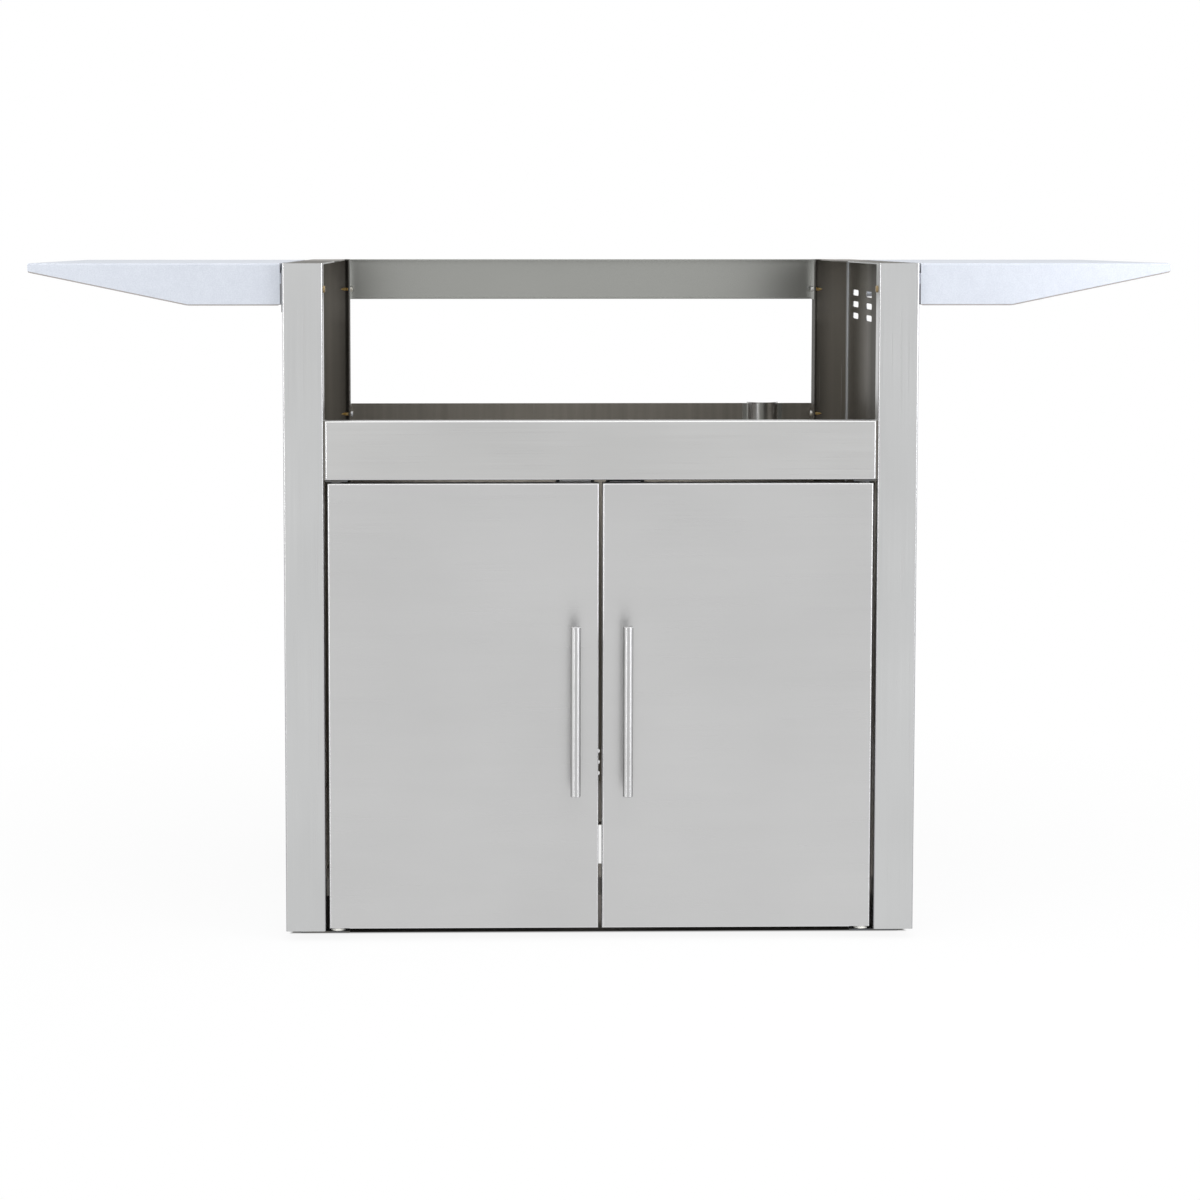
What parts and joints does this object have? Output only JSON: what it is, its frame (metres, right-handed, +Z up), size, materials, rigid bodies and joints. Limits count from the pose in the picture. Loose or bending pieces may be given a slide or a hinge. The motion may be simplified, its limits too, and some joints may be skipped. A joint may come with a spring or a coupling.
{
  "type": "outdoor oven cart",
  "caption": "Stainless-steel cabinet cart for an outdoor oven, with an open oven bay, hinged doors with bar handles, tapered folding side shelves and hidden swivel casters.",
  "frame": {"origin": "on the ground, below the middle of the cart's bounding box", "axes": "+X to the right, the doors face -Y, +Z up"},
  "size_m": [1.367, 0.64, 0.819],
  "materials": {
    "cabinet_steel": "brushed",
    "door_steel": "brushed",
    "shelf_steel": "fine satin",
    "handle_steel": "satin",
    "plated_steel": "zinc plated",
    "screw_brass": "bright",
    "catch_plastic": "matt",
    "bush_nylon": "satin",
    "wheel_nylon": "satin",
    "wheel_rubber": "matt"
  },
  "bodies": {
    "frame": {"side_panel_left": "cabinet_steel", "side_panel_right": "cabinet_steel", "front_rail": "cabinet_steel", "upper_rear_rail": "cabinet_steel", "back_panel": "cabinet_steel", "bay_floor": "cabinet_steel", "cabinet_floor": "cabinet_steel", "hose_guide": "cabinet_steel", "panel_screws": "screw_brass", "floor_rivets": "plated_steel", "pivot_plates_left": "plated_steel", "pivot_plates_right": "plated_steel", "hinge_pins_left": "plated_steel", "hinge_pins_right": "plated_steel", "door_catch_left": "catch_plastic", "door_catch_right": "catch_plastic", "shelf_brackets_left": "plated_steel", "shelf_brackets_right": "plated_steel", "caster_plates": "plated_steel", "caster_kingpins": "plated_steel", "caster_bolts": "plated_steel", "caster_nuts": "plated_steel"},
    "door_left": {"door_skin_left": "door_steel", "door_liner_left": "door_steel", "door_bushes_left": "bush_nylon", "strike_plate_left": "plated_steel", "handle_bar_left": "handle_steel", "handle_posts_left": "handle_steel", "handle_screws_left": "plated_steel"},
    "shelf_left": {"shelf_tray_left": "shelf_steel", "shelf_stiffener_left": "shelf_steel", "shelf_studs_left": "plated_steel"},
    "door_right": {"door_skin_right": "door_steel", "door_liner_right": "door_steel", "door_bushes_right": "bush_nylon", "strike_plate_right": "plated_steel", "handle_bar_right": "handle_steel", "handle_posts_right": "handle_steel", "handle_screws_right": "plated_steel"},
    "shelf_right": {"shelf_tray_right": "shelf_steel", "shelf_stiffener_right": "shelf_steel", "shelf_studs_right": "plated_steel"},
    "caster_front_left": {"caster_fork_front_left": "plated_steel", "caster_axle_front_left": "plated_steel"},
    "wheel_front_left": {"wheel_hub_front_left": "wheel_nylon", "wheel_tyre_front_left": "wheel_rubber"},
    "caster_front_right": {"caster_fork_front_right": "plated_steel", "caster_axle_front_right": "plated_steel"},
    "wheel_front_right": {"wheel_hub_front_right": "wheel_nylon", "wheel_tyre_front_right": "wheel_rubber"},
    "caster_rear_left": {"caster_fork_rear_left": "plated_steel", "caster_axle_rear_left": "plated_steel"},
    "wheel_rear_left": {"wheel_hub_rear_left": "wheel_nylon", "wheel_tyre_rear_left": "wheel_rubber"},
    "caster_rear_right": {"caster_fork_rear_right": "plated_steel", "caster_axle_rear_right": "plated_steel"},
    "wheel_rear_right": {"wheel_hub_rear_right": "wheel_nylon", "wheel_tyre_rear_right": "wheel_rubber"}
  },
  "joints": [
    {"name": "door_left_swing", "type": "hinge", "parent": "frame", "child": "door_left", "pos_m": [-0.3175, -0.27, 0.012], "axis": [0, 0, -1], "range_deg": [0, 105]},
    {"name": "door_right_swing", "type": "hinge", "parent": "frame", "child": "door_right", "pos_m": [0.3175, -0.27, 0.012], "axis": [0, 0, 1], "range_deg": [0, 105]},
    {"name": "shelf_left_fold", "type": "hinge", "parent": "frame", "child": "shelf_left", "pos_m": [-0.3915, 0.02, 0.7765], "axis": [0, -1, 0], "range_deg": [0, 90]},
    {"name": "shelf_right_fold", "type": "hinge", "parent": "frame", "child": "shelf_right", "pos_m": [0.3915, 0.02, 0.7765], "axis": [0, 1, 0], "range_deg": [0, 90]},
    {"name": "swivel_front_left", "type": "hinge", "parent": "frame", "child": "caster_front_left", "pos_m": [-0.3, -0.175, 0.06], "axis": [0, 0, 1], "continuous": true},
    {"name": "swivel_front_right", "type": "hinge", "parent": "frame", "child": "caster_front_right", "pos_m": [0.3, -0.175, 0.06], "axis": [0, 0, 1], "continuous": true},
    {"name": "swivel_rear_left", "type": "hinge", "parent": "frame", "child": "caster_rear_left", "pos_m": [-0.3, 0.215, 0.06], "axis": [0, 0, 1], "continuous": true},
    {"name": "swivel_rear_right", "type": "hinge", "parent": "frame", "child": "caster_rear_right", "pos_m": [0.3, 0.215, 0.06], "axis": [0, 0, 1], "continuous": true},
    {"name": "wheel_front_left_roll", "type": "hinge", "parent": "caster_front_left", "child": "wheel_front_left", "pos_m": [-0.3, -0.195, 0.025], "axis": [1, 0, 0], "continuous": true},
    {"name": "wheel_front_right_roll", "type": "hinge", "parent": "caster_front_right", "child": "wheel_front_right", "pos_m": [0.3, -0.195, 0.025], "axis": [1, 0, 0], "continuous": true},
    {"name": "wheel_rear_left_roll", "type": "hinge", "parent": "caster_rear_left", "child": "wheel_rear_left", "pos_m": [-0.3, 0.235, 0.025], "axis": [1, 0, 0], "continuous": true},
    {"name": "wheel_rear_right_roll", "type": "hinge", "parent": "caster_rear_right", "child": "wheel_rear_right", "pos_m": [0.3, 0.235, 0.025], "axis": [1, 0, 0], "continuous": true}
  ]
}
